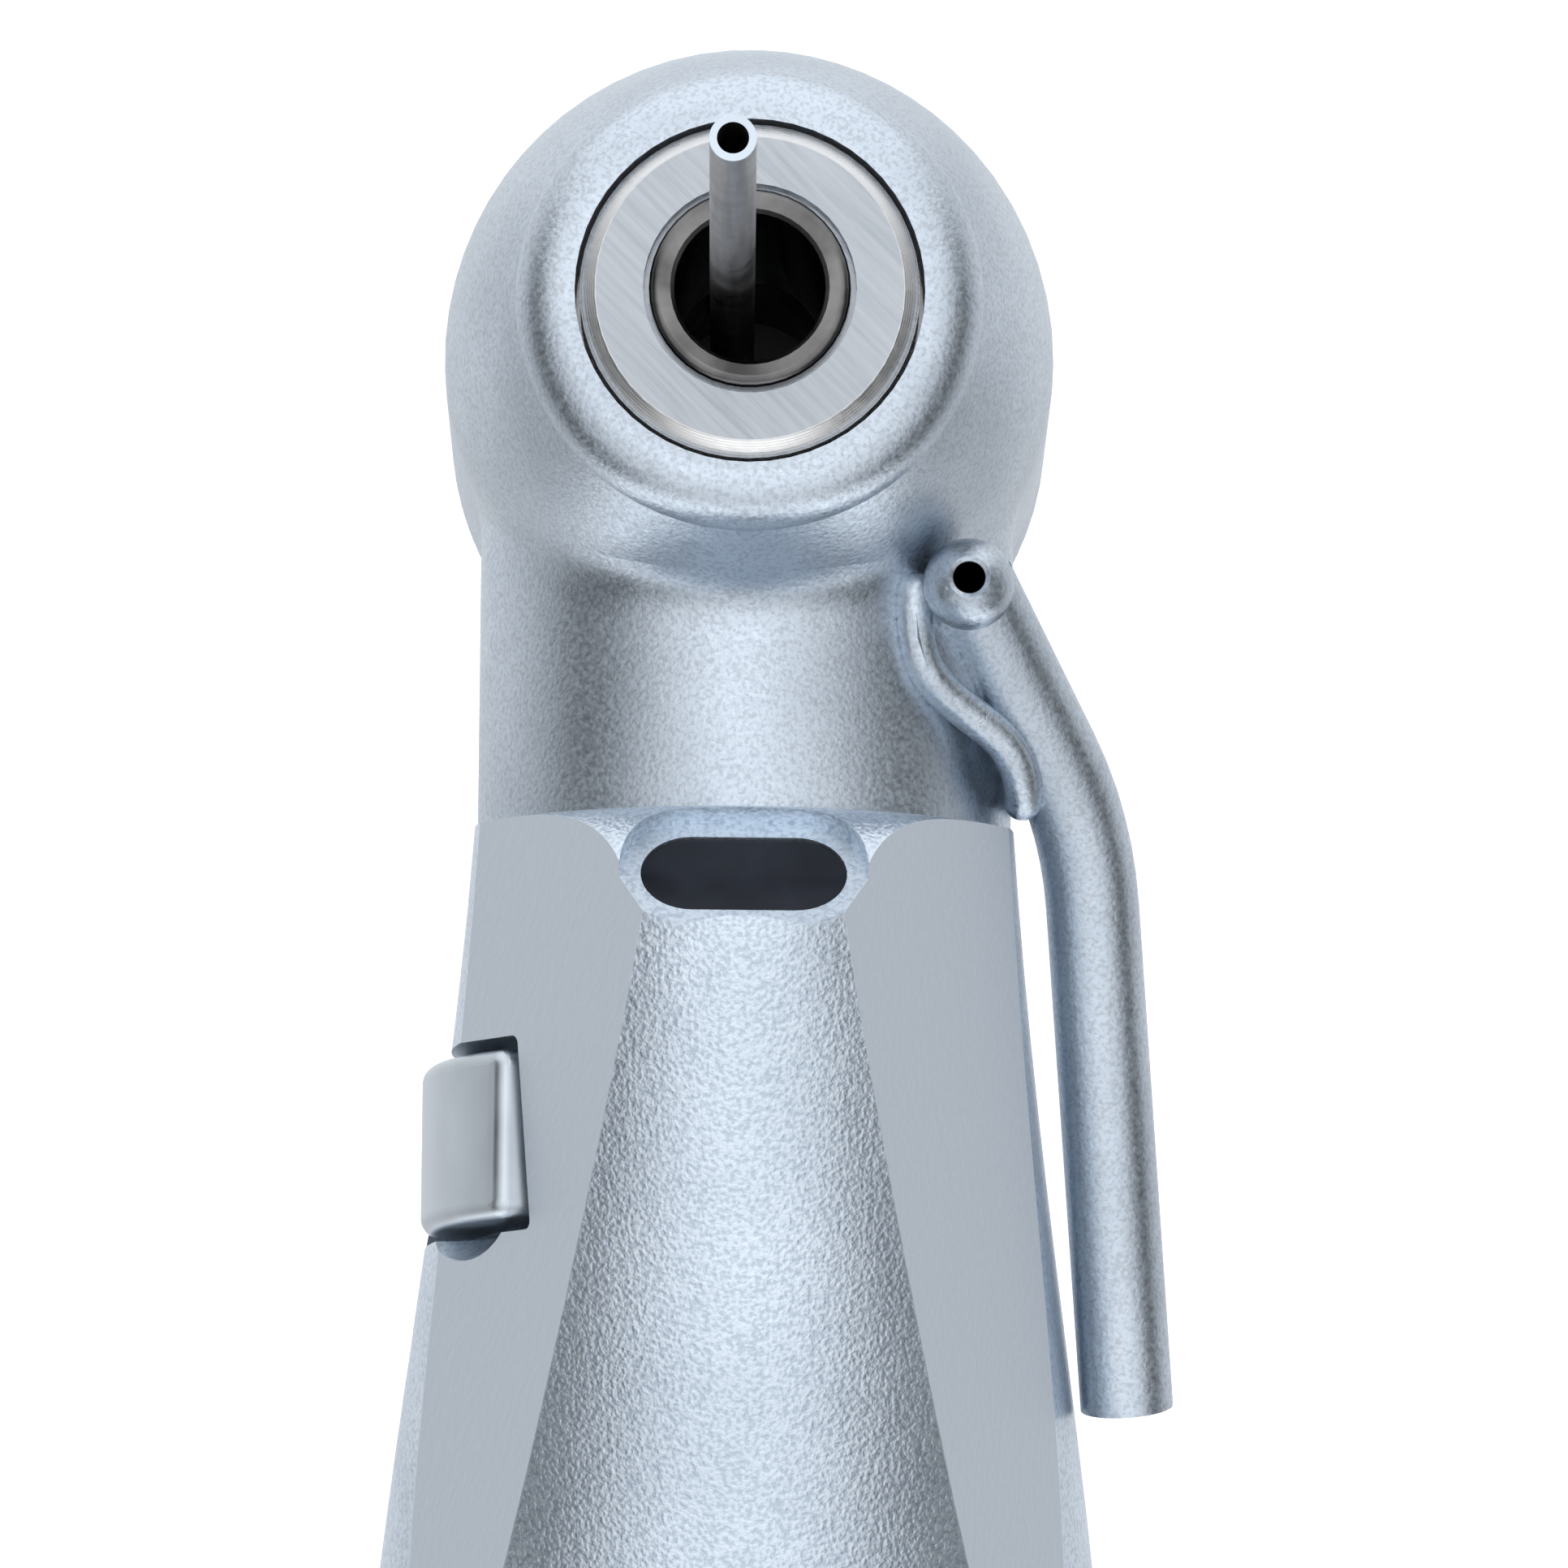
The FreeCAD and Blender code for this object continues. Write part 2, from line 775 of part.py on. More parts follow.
def tube_saddle():
    """A spring clip round the back of the neck with a stalk that holds the irrigation tube."""
    low = neck_reach - saddle_drop - saddle_width / 2
    high = low + saddle_width
    outer = neck_radius + saddle_thickness
    wedge = sector(outer + 1, low, high, 90 - saddle_half_angle, 90 + saddle_half_angle)
    band = rod(outer, low, high).common(wedge)
    reach = irrigation_back - irrigation_slant + stalk_overhang
    corner = Vector(-stalk_width / 2 - irrigation_offset, 0, low)
    stalk = Part.makeBox(stalk_width, reach, saddle_width, corner)
    hold = put(band.fuse(stalk).cut(rod(neck_radius, low - 1, high + 1)), neck)
    return hold.cut(put(pipe(bent_path(irrigation_path(), irrigation_bend), irrigation_radius), chuck))


def sector(radius, low, high, start, end):
    """A wedge of a disc between two angles."""
    wedge = Part.makeCylinder(radius, high - low, Vector(0, 0, low), Z, end - start)
    return turn(wedge, start)


# spray tube
def on_neck(point):
    """Where a point lies that is given by its measures right, forward and down the neck."""
    right, forward, down = point
    return neck.multVec(Vector(right, -forward, neck_reach - down))


def spray_path():
    """The spray tube's centre line, from its open lower end to the nozzle."""
    return bent_path([bend + Vector(*spray_foot), on_neck(spray_elbow), on_neck(spray_tip)], spray_bend)


def spray_solid():
    """The spray tube without its bore."""
    return pipe(spray_path(), spray_radius)


def nozzle_ball():
    """The ball at the tube's upper end, without its bore."""
    return Part.makeSphere(nozzle_radius, on_neck(nozzle_centre))


def spray_tube():
    """The steel tube that feeds the nozzle, open at its lower end."""
    return spray_solid().cut(nozzle_ball()).cut(head_form()).cut(pipe(spray_path(), spray_bore))


def spray_nozzle():
    """The ball at the tube's end, drilled from the tube and along the drill, with a countersunk mouth."""
    centre = on_neck(nozzle_centre)
    supply = 0.75 * on_neck(spray_tip) + 0.25 * on_neck(spray_elbow) - centre
    aim = chuck.Rotation.multVec(Z)
    reach = nozzle_radius + running_gap
    jet = Part.makeCylinder(nozzle_bore, reach, centre, aim)
    feed = Part.makeCylinder(nozzle_bore, reach, centre, supply)
    depth = math.sqrt(nozzle_radius ** 2 - nozzle_mouth_radius ** 2)
    flare = math.tan(math.radians(nozzle_mouth_angle))
    start = depth - (nozzle_mouth_radius - nozzle_bore) / flare
    height = reach - start
    mouth = Part.makeCone(nozzle_bore, nozzle_bore + height * flare, height, centre + start * aim, aim)
    return nozzle_ball().cut([jet, feed, mouth, Part.makeSphere(nozzle_bore, centre)])


def spray_bracket():
    """The brazed web that ties the spray tube to the neck, with a rounded front edge."""
    points = [on_neck(point) for point in web_ridge_points]
    curve = Part.BSplineCurve()
    curve.interpolate(points)
    ridge = pipe(Part.Wire([curve.toShape()]), web_ridge_radius)
    for end in (points[0], points[-1]):
        ridge = ridge.fuse(Part.makeSphere(web_ridge_radius, end))
    outline = web_ridge_points[::-1] + [spray_tip, spray_elbow]
    corners = [Vector(right, 0, neck_reach - down) for right, forward, down in outline]
    prism = Part.Face(Part.makePolygon(corners + corners[:1])).extrude(Vector(0, -2 * neck_radius, 0))
    web = ring(neck_radius + web_thickness, neck_radius, seam_height, neck_reach).common(prism)
    return ridge.fuse(put(web, neck)).cut([head_form(), spray_solid(), nozzle_ball()])


# front sleeve
def ellipse(half_width, front, back, height):
    """An egg-free oval section of the sleeve at a height above the bend."""
    centre = Vector(0, (back - front) / 2, bend_height + height)
    depth = (back + front) / 2
    if abs(depth - half_width) < 0.001:
        return Part.Wire([Part.makeCircle(half_width, centre, Z)])
    if depth > half_width:
        curve = Part.Ellipse(centre + Vector(0, depth, 0), centre + Vector(half_width, 0, 0), centre)
    else:
        curve = Part.Ellipse(centre + Vector(half_width, 0, 0), centre + Vector(0, depth, 0), centre)
    return Part.Wire([curve.toShape()])


def sleeve_form():
    """The sleeve's outer form: a taper that turns from round to oval below the neck."""
    foot = (handle_radius, handle_radius, handle_radius, sleeve_foot - bend_height)
    return Part.makeLoft([ellipse(*section) for section in [foot] + sleeve_sections], True, False)


def flat_cut(side):
    """The solid beyond one finger flat; side is -1 for left and 1 for right."""
    wide = 2 * handle_radius
    corner = Vector(-wide / 2, -handle_radius, -flat_length)
    block = Part.makeBox(wide, handle_radius, flat_length + neck_reach, corner)
    place = Placement(bend, Rotation(Z, side * flat_angle))
    lean = Placement(Vector(0, -flat_distance, 0), Rotation(X, -flat_lean))
    return put(block, place.multiply(lean))


def sleeve_dome():
    """The rounded shoulder that brings the sleeve in to the neck at the seam."""
    top = seam_height
    wide = neck_radius + dome_reach
    half = (neck_radius + dome_reach * math.sqrt(0.5), top - dome_drop * (1 - math.sqrt(0.5)))
    return put(revolved([
        line((0, top), (neck_radius, top)),
        arc((neck_radius, top), half, (wide, top - dome_drop)),
        line((wide, top - dome_drop), (4 * handle_radius, -handle_radius)),
        line((4 * handle_radius, -handle_radius), (4 * handle_radius, -bend_height)),
        line((4 * handle_radius, -bend_height), (0, -bend_height)),
        line((0, -bend_height), (0, top)),
    ]), neck)


def window_place():
    """The frame of the light window's sloping facet."""
    return Placement(Vector(0, -window_forward, bend_height + window_rise), Rotation(X, 90 - window_slope))


def stadium(length, width, low, high):
    """A slot-shaped block about Z, longest along X."""
    half = (length - width) / 2
    block = Part.makeBox(2 * half, width, high - low, Vector(-half, -width / 2, low))
    for side in (-1, 1):
        end = rod(width / 2, low, high)
        end.translate(Vector(side * half, 0, 0))
        block = block.fuse(end)
    return block.removeSplitter()


def front_sleeve():
    """The handle's front, with two finger flats, the window's dished facet and a button pocket."""
    body = sleeve_form().common(sleeve_dome())
    body = body.cut(flat_cut(-1)).cut(flat_cut(1))
    collar = stadium(window_length + 2 * window_rim, window_width + 2 * window_rim, -window_dish, 4)
    window = stadium(window_length, window_width, -window_depth, 1)
    body = body.cut(put(collar, window_place()))
    body = body.cut(put(window, window_place()))
    foot = sleeve_foot
    bay = bend_height - bend_bay_depth
    holes = [
        rod(gearbox_radius(), foot - 1, gearbox_height + ring_gear_length),
        rod(carrier_radius + 0.3, foot, rear_shaft_bearing() - 0.2),
        rod(shaft_bearing_radius, foot, rear_shaft_bearing() + shaft_bearing_width),
        rod(lower_shaft_radius + 0.9, foot, bay),
        rod(shaft_bearing_radius, front_shaft_bearing(), bay + 0.01),
        rod(bend_bay_radius, bay, bend_height + 0.6),
        put(rod(bend_bay_radius, -0.6, seam_height + 1), neck),
        put(rod(spigot_radius(), seam_height - spigot_length, seam_height + 1), neck),
        pocket(),
    ]
    return body.cut(holes)


def light_window():
    """The glass that closes the facet."""
    return put(stadium(window_length, window_width, -window_depth * 0.6, -window_dish - 0.05), window_place())


def light_lamp():
    """The lamp block behind the glass."""
    plate = stadium(window_length - 0.2, window_width - 0.2, -window_depth, -window_depth * 0.6)
    return put(plate, window_place())


# release button
def release_place():
    """A frame on the release button's face: X along it, Y up the neck and Z out of it."""
    turned_left = Rotation(X, -contra_angle).multiply(Rotation(Z, -release_angle))
    place = Placement(bend + Vector(0, 0, release_rise), turned_left)
    return place.multiply(Placement(Vector(0, -release_reach, 0), Rotation(X, 90)))


def rounded_block(width, height, low, high, corner):
    """A block with round upright corners, about Z."""
    block = Part.makeBox(width, height, high - low, Vector(-width / 2, -height / 2, low))
    return block.makeFillet(corner, [e for e in block.Edges if abs(e.tangentAt(e.FirstParameter).z) > 0.9])


def pocket():
    """The well that the release button slides in, with a round scoop below it for a thumbnail."""
    gap = release_gap
    low = -release_depth - release_travel
    well = rounded_block(release_width + 2 * gap, release_height + 2 * gap, low, 3, release_corner / 2)
    middle = Vector(thumb_scoop_shift, -thumb_scoop_drop, thumb_scoop_lift)
    scoop = Part.makeSphere(thumb_scoop_radius, middle)
    return put(well.fuse(scoop), release_place())


def release_button():
    """The press block that frees the head, with a round face and soft edges."""
    block = rounded_block(release_width, release_height, -release_depth, 1, release_corner)
    face = Part.makeCylinder(release_reach, 9, Vector(0, -4.5, -release_reach), Vector(0, 1, 0))
    body = block.common(turn_about_y(face, 90))
    rim = [e for e in body.Edges if min(v.Z for v in e.Vertexes) > -release_depth + 0.01]
    return put(body.makeFillet(release_corner * 0.9, rim), release_place())


def turn_about_y(shape, angle):
    """A copy turned about the upright line through the handle axis in the release button's frame."""
    moved = shape.copy()
    moved.rotate(Vector(0, 0, -release_reach), Vector(0, 1, 0), angle)
    return moved


def release_spring():
    """The bent leaf behind the release button."""
    low = -release_depth - release_travel
    high = -release_depth
    wall = 0.12
    half = 1.1
    points = [(-half, low), (wall - half, low), (0, high - wall * 1.2), (half - wall, low)]
    points += [(half, low), (0.1, high), (-0.1, high)]
    wire = Part.makePolygon([Vector(x, -0.6, z) for x, z in points + points[:1]])
    return put(Part.Face(wire).extrude(Vector(0, 1.2, 0)), release_place())


# rear of the handle
def rear_sleeve():
    """The rear of the handle, with grip rings, a spigot for the front sleeve and a shaft bore."""
    top = sleeve_foot - ring_height
    waist = handle_radius - 0.25
    outline = [
        (0, 0.0),
        (tail_radius - 0.5, 0),
        (tail_radius, 0.5),
        (tail_radius, 4.0),
        (tail_radius - 0.4, 4.8),
        (waist, 24.0),
        (handle_radius, 38.5),
        (handle_radius, top),
        (gearbox_radius(), top),
        (gearbox_radius(), gearbox_height),
        (0, gearbox_height),
    ]
    body = turned(outline)
    grooves = []
    for number in range(grip_rings):
        height = 8.0 + number * grip_pitch
        grooves.append(ring(tail_radius + 1, waist - 0.1, height, height + grip_groove))
    body = body.cut(grooves)
    holes = [
        rod(socket_radius + socket_wall, -1, socket_depth + 1),
        rod(input_bearing_radius - 0.6, socket_depth, gearbox_height + 1),
        rod(input_bearing_radius, socket_depth + 5, gearbox_height + 1),
    ]
    return body.cut(holes)


def coupling_sleeve():
    """The steel liner that plugs on to the motor."""
    outer = socket_radius + socket_wall
    return turned([
        (socket_radius, 0),
        (outer, 0),
        (outer, socket_depth + 1),
        (input_bearing_radius - 0.6, socket_depth + 1),
        (input_bearing_radius - 0.6, socket_depth),
        (socket_radius, socket_depth),
    ])


def colour_ring():
    """The ring that marks the gear ratio."""
    top = sleeve_foot
    return ring(handle_radius - ring_inset, gearbox_radius(), top - ring_height, top)


def input_shaft():
    """The shaft from the drive dog to the sun gear."""
    low = socket_depth + shaft_recess
    high = gearbox_height + 0.2
    sun = spur_gear(sun_teeth, high, gearbox_height + ring_gear_length - 0.25, 0, 180 / sun_teeth)
    return rod(input_shaft_radius, low, high).fuse(sun).removeSplitter()


def drive_dog():
    """The slotted dog that the motor turns."""
    low = socket_depth + dog_recess
    corner = Vector(-dog_radius, -dog_slot_width / 2, low)
    slot = Part.makeBox(2 * dog_radius, dog_slot_width, dog_slot_depth, corner)
    seat = rod(input_shaft_radius, socket_depth + shaft_recess, low + dog_length)
    return rod(dog_radius, low, low + dog_length).cut([seat, slot])


def input_bearing_heights():
    """Heights of the two input bearings."""
    return (socket_depth + 5, gearbox_height - input_bearing_width - 0.1)


# every sub-part
def bearing(name, outer, inner, low, width, place):
    """Save the two races of one sealed bearing."""
    save(name + "_outer", put(outer_race(outer, inner, low, width), place))
    save(name + "_inner", put(inner_race(outer, inner, low, width), place))


def build():
    """Write every sub-part of the handpiece."""
    makers = [
        head_housing, head_cap, push_button, button_spring, spindle, chuck_sleeve, chuck_jaws, chuck_plunger,
        spindle_gear, irrigation_tube, tube_saddle, spray_tube, spray_nozzle, spray_bracket, upper_shaft,
        lower_shaft, planet_carrier, ring_gear, input_shaft, drive_dog, front_sleeve, light_window,
        light_lamp, release_button, release_spring, colour_ring, rear_sleeve, coupling_sleeve,
    ]
    for maker in makers:
        save(maker.__name__, maker())
    for number in range(planet_count):
        save(f"planet_gear_{number + 1}", planet_gear(number))
        save(f"planet_pin_{number + 1}", planet_pin(number))
    seat = nose_height - nose_lip
    width = front_bearing_width
    bearing("front_bearing", front_bearing_radius, spindle_radius, seat - width, width, chuck)
    width = rear_bearing_width
    bearing("rear_bearing", rear_bearing_radius, spindle_tail_radius, rear_bearing_low(), width, chuck)
    low = neck_bearing_low()
    bearing("lower_neck_bearing", neck_bearing_radius, upper_shaft_radius, low, neck_bearing_width, neck)
    low = pinion_shelf() - neck_bearing_width
    bearing("upper_neck_bearing", neck_bearing_radius, upper_shaft_radius, low, neck_bearing_width, neck)
    width = shaft_bearing_width
    for name, low in (("front", front_shaft_bearing()), ("rear", rear_shaft_bearing())):
        bearing(name + "_shaft_bearing", shaft_bearing_radius, lower_shaft_radius, low, width, handle)
    for name, low in zip(("rear_input_bearing", "front_input_bearing"), input_bearing_heights()):
        bearing(name, input_bearing_radius, input_shaft_radius, low, input_bearing_width, handle)


os.makedirs("parts", exist_ok=True)
build()
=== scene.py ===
import json
import math

import bpy
from mathutils import Matrix, Vector

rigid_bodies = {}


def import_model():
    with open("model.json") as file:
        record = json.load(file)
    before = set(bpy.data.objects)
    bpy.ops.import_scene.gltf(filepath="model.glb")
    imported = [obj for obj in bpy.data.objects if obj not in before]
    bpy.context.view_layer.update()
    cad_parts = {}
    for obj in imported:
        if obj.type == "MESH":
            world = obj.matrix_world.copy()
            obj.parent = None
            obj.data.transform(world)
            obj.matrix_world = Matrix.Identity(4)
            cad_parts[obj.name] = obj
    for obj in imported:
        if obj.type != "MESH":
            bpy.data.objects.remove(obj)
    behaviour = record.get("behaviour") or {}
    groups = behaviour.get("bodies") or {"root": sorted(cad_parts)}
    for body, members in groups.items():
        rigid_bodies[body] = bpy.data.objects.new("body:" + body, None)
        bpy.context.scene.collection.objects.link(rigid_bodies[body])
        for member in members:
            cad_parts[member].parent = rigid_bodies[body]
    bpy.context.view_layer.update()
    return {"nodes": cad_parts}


# A steel contra-angle surgical handpiece, seen from the front and a little above, in soft white
# studio light. Lengths are in metres; MM turns the millimetres of the part into metres.

MM = 0.001
ACROSS = Vector((1, 0, 0))

# the part's layout: the neck leans back at the bend, and the chuck's axis crosses the neck above it
BEND = Vector((0, 0, 76 * MM))
CONTRA_ANGLE = math.radians(21.4)
CHUCK_ANGLE = math.radians(24.0)
NECK_REACH = 10.5 * MM
NOSE_HEIGHT = 6.5 * MM
UP_NECK = Vector((0, math.sin(CONTRA_ANGLE), math.cos(CONTRA_ANGLE)))
TO_FRONT = Vector((0, -math.cos(CONTRA_ANGLE), math.sin(CONTRA_ANGLE)))
OUT_CHUCK = Vector((0, -math.cos(CHUCK_ANGLE), math.sin(CHUCK_ANGLE)))
UP_FACE = OUT_CHUCK.cross(ACROSS)
HEAD = BEND + UP_NECK * NECK_REACH
FACE = HEAD + OUT_CHUCK * NOSE_HEIGHT

# the spindle's flat face and its tool marks
FACE_RADIUS = 2.4 * MM
FACE_EDGE = 0.02 * MM
TOOL_MARKS = 0.035 * MM

# the chuck's lip, where painted shade darkens it into the bore, by height from the face
LIP_TOP = -0.02 * MM
LIP_BOTTOM = -0.35 * MM

# the irrigation tube's cut end, by height from the face
TIP_REACH = 10.7 * MM
TIP_START = TIP_REACH - 0.05 * MM
TIP_END = TIP_REACH - 0.01 * MM

# the spray nozzle: how far right, in front of the neck's axis and below the chuck's axis it lies
NOZZLE = HEAD + ACROSS * 3.47 * MM + TO_FRONT * 3.72 * MM - UP_NECK * 3.88 * MM
NOZZLE_BORE = 0.25 * MM

# the collar round the light window: a leaning slot shape
COLLAR = BEND + Vector((0, -4.33 * MM, 3.72 * MM))
COLLAR_LEAN = math.radians(30.0)
COLLAR_UP = Vector((0, math.cos(COLLAR_LEAN), math.sin(COLLAR_LEAN)))
COLLAR_HALF = 0.8 * MM
COLLAR_RADIUS = 1.13 * MM

# the finger flats of the front sleeve
FLAT_ANGLE = math.radians(56.0)
FLAT_DISTANCE = 4.526 * MM
FLAT_LEAN = math.radians(7.62)
FLAT_NEAR = 0.004 * MM
FLAT_FAR = 0.012 * MM

# the photograph, and where the camera stood
PHOTO_SIZE = 1932
FACE_PIXEL = (924, 357)
PIXEL = 0.01257 * MM
CAMERA_DISTANCE = 200 * MM
CAMERA_RISE = math.radians(12.0)
CAMERA_ROLL = math.radians(0.6)
CAMERA_CLIP = (0.01, 20.0)
SENSOR = 36.0

# the studio
FLOOR_HALF = 3.0
FLOOR_GLOW = 0.35
KEY_PLACE = (-0.04, -0.5, 0.3)
KEY_SIZE = 0.25
KEY_POWER = 0.08

# the tent's brightness by direction: round about from the front at -1 to the back at 1, and the
# others from below at -1 to above at 1
TENT_ROUND = (
    (-1.0, 1.25),
    (-0.78, 1.0),
    (-0.45, 0.25),
    (-0.2, 0.04),
    (0.0, 0.25),
    (0.18, 0.68),
    (0.35, 0.69),
    (0.5, 0.8),
    (0.75, 0.85),
    (1.0, 1.0),
)
TENT_OVERHEAD = ((-1.0, 0.0), (0.4, 0.0), (0.85, 1.0))
TENT_BELOW = ((-1.0, 0.85), (-0.45, 0.85), (-0.2, 1.0))
TENT_UNDER = ((-1.0, 1.0), (-0.85, 0.9), (-0.65, 0.0))
TENT_TOP = (1.3, 1.3, 1.3)
TENT_BOTTOM = (1.7, 1.7, 1.7)
TENT_TINT = (0.97, 0.985, 1.0)

# colours
STEEL = (0.54, 0.605, 0.68)
STEEL_PALE = (0.63, 0.70, 0.78)
# painted shade for the dimples of blasted steel
STEEL_DIMPLE_SHADE = (0.36, 0.39, 0.43)
STRIP = (0.66, 0.735, 0.82)
STRIP_PALE = (0.74, 0.82, 0.91)
# painted shade for the peened dimples of the sleeve's front strip
STRIP_DIMPLE_SHADE = (0.31, 0.39, 0.49)
FLAT = (0.72, 0.785, 0.86)
FLAT_PALE = (0.79, 0.86, 0.94)
SPINDLE = (0.37, 0.40, 0.435)
SPINDLE_PALE = (0.50, 0.53, 0.57)
SPINDLE_EDGE = (0.86, 0.85, 0.84)
# the chuck's lip is painted dark, as shade at the bore's mouth
LIP = (0.11, 0.108, 0.11)
LIP_PALE = (0.22, 0.215, 0.215)
TUBE = (0.27, 0.26, 0.26)
TUBE_PALE = (0.42, 0.41, 0.41)
TUBE_STAIN = (0.20, 0.19, 0.185)
BUTTON = (0.62, 0.675, 0.73)
GEAR = (0.45, 0.45, 0.46)
BEARING = (0.60, 0.60, 0.61)
SPRING = (0.40, 0.41, 0.43)
LAMP = (0.10, 0.10, 0.11)
# near black for the chuck's jaws and plunger: painted shade deep in the bore
JAW_SHADE = (0.03, 0.03, 0.033)
GLASS = (0.004, 0.005, 0.009)
GLASS_PALE = (0.014, 0.016, 0.026)
ENAMEL = (0.02, 0.20, 0.07)
ENAMEL_PALE = (0.03, 0.26, 0.10)
SHADOW = (0.006, 0.0065, 0.008)
FLOOR = (0.86, 0.86, 0.87)
FLOOR_PALE = (0.90, 0.90, 0.90)
WHITE = (1, 1, 1)

# noise scales, in cells per metre; clouds and smears are coarser and differ from finish to finish
FINEST = 16000
SPECKS = 14000
GRAIN = 12500
MARKS = 12000
BRUSH = 9000
STREAKS = 6000

# how much painted shade darkens the dimples of blasted and peened steel
DIMPLE_SHADE_SHARE = 0.4


# start
for leftover in list(bpy.data.objects):
    bpy.data.objects.remove(leftover, do_unlink=True)
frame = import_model()


# camera
def place_camera():
    """The camera that took the photograph, turned so that its image shows the same field."""
    toward = Vector((0, -math.cos(CAMERA_RISE), math.sin(CAMERA_RISE)))
    upright = Vector((0, math.sin(CAMERA_RISE), math.cos(CAMERA_RISE)))
    across = ACROSS * math.cos(CAMERA_ROLL) + upright * math.sin(CAMERA_ROLL)
    upward = upright * math.cos(CAMERA_ROLL) - ACROSS * math.sin(CAMERA_ROLL)
    eye = FACE + toward * CAMERA_DISTANCE
    right, down = (PHOTO_SIZE / 2 - pixel for pixel in FACE_PIXEL)
    aim = FACE + across * right * PIXEL - upward * down * PIXEL
    back = (eye - aim).normalized()
    side = upward.cross(back).normalized()
    top = back.cross(side)
    data = bpy.data.cameras.new("photo_camera")
    data.sensor_width = SENSOR
    data.lens = SENSOR * CAMERA_DISTANCE / (PIXEL * PHOTO_SIZE)
    data.clip_start, data.clip_end = CAMERA_CLIP
    camera = bpy.data.objects.new("photo_camera", data)
    turn = Matrix((side, top, back)).transposed().to_4x4()
    camera.matrix_world = Matrix.Translation(eye) @ turn
    bpy.context.scene.collection.objects.link(camera)
    bpy.context.scene.camera = camera


# node trees
SOCKETS = {
    "colour": "Base Color",
    "metallic": "Metallic",
    "roughness": "Roughness",
    "normal": "Normal",
    "specular": "Specular IOR Level",
    "glow": "Emission Color",
    "glow_strength": "Emission Strength",
}


class Nodes:
    """Short calls for building the node tree of a material or of the world."""

    def __init__(self, owner, shader, coords):
        owner.use_nodes = True
        self.owner = owner
        self.tree = owner.node_tree
        self.shader = self.tree.nodes[shader]
        self.coords = self.node("TexCoord").outputs[coords]

    def link(self, source, target):
        self.tree.links.new(source, target)

    def node(self, kind, **settings):
        made = self.tree.nodes.new("ShaderNode" + kind)
        for name, value in settings.items():
            setattr(made, name, value)
        return made

    def feed(self, socket, value):
        """Link a socket's value, or set a plain one."""
        if isinstance(value, bpy.types.NodeSocket):
            self.link(value, socket)
        else:
            socket.default_value = value

    def math(self, operation, first, second=0.0):
        made = self.node("Math", operation=operation)
        for socket, value in zip(made.inputs, (first, second)):
            self.feed(socket, value)
        return made.outputs[0]

    def length(self, first, second):
        """The length of a flat vector."""
        squares = [self.math("MULTIPLY", value, value) for value in (first, second)]
        return self.math("SQRT", self.math("ADD", *squares))

    def dot(self, vector, direction):
        made = self.node("VectorMath", operation="DOT_PRODUCT")
        self.link(vector, made.inputs[0])
        made.inputs[1].default_value = direction
        return made.outputs["Value"]

    def shifted(self, vector, offset):
        made = self.node("VectorMath", operation="SUBTRACT")
        self.link(vector, made.inputs[0])
        made.inputs[1].default_value = offset
        return made.outputs[0]

    def along(self, origin, direction):
        """How far a point lies from an origin in one direction."""
        return self.dot(self.shifted(self.coords, origin), direction)

    def local(self, origin, across, up):
        """Coordinates along across, up and their cross product, measured from an origin."""
        start = self.shifted(self.coords, origin)
        joined = self.node("CombineXYZ")
        for socket, direction in zip(joined.inputs, (across, up, across.cross(up))):
            self.link(self.dot(start, direction), socket)
        return joined.outputs[0]

    def split(self, vector):
        made = self.node("SeparateXYZ")
        self.link(vector, made.inputs[0])
        return made.outputs

    def noise(self, scale, detail, roughness=0.5, vector=None, stretch=None):
        source = vector or self.coords
        if stretch:
            mapping = self.node("Mapping")
            self.link(source, mapping.inputs["Vector"])
            mapping.inputs["Scale"].default_value = stretch
            source = mapping.outputs[0]
        made = self.node("TexNoise")
        self.link(source, made.inputs["Vector"])
        made.inputs["Scale"].default_value = scale
        made.inputs["Detail"].default_value = detail
        made.inputs["Roughness"].default_value = roughness
        return made.outputs["Fac"]

    def span(self, value, low, high, to_low, to_high):
        """A value's range from low to high, spread over a new one and clamped."""
        made = self.node("MapRange", clamp=True)
        self.feed(made.inputs["Value"], value)
        made.inputs["From Min"].default_value = low
        made.inputs["From Max"].default_value = high
        made.inputs["To Min"].default_value = to_low
        made.inputs["To Max"].default_value = to_high
        return made.outputs["Result"]

    def wide(self, noise, to_low=0, to_high=1):
        """Nearly all of a noise's range."""
        return self.span(noise, 0.3, 0.7, to_low, to_high)

    def middle(self, noise):
        """The middle of a noise's range, for clearer clouds."""
        return self.span(noise, 0.35, 0.65, 0, 1)

    def mix(self, share, first, second):
        made = self.node("Mix", data_type="FLOAT")
        self.feed(made.inputs[0], share)
        self.feed(made.inputs[2], first)
        self.feed(made.inputs[3], second)
        return made.outputs[0]

    def tint(self, share, first, second, kind="MIX"):
        """Two colours, mixed or multiplied."""
        made = self.node("Mix", data_type="RGBA", blend_type=kind)
        self.feed(made.inputs[0], share)
        for socket, colour in ((made.inputs[6], first), (made.inputs[7], second)):
            self.feed(socket, (*colour, 1) if isinstance(colour, tuple) else colour)
        return made.outputs[2]

    def ramp(self, value, stops):
        """An eased curve through stops of a place from -1 to 1 and a brightness."""
        made = self.node("ValToRGB")
        made.color_ramp.interpolation = "EASE"
        self.link(self.span(value, -1, 1, 0, 1), made.inputs[0])
        while len(made.color_ramp.elements) < len(stops):
            made.color_ramp.elements.new(0.5)
        for element, (place, level) in zip(made.color_ramp.elements, stops):
            element.position = (place + 1) / 2
            element.color = (level, level, level, 1)
        return made.outputs[0]

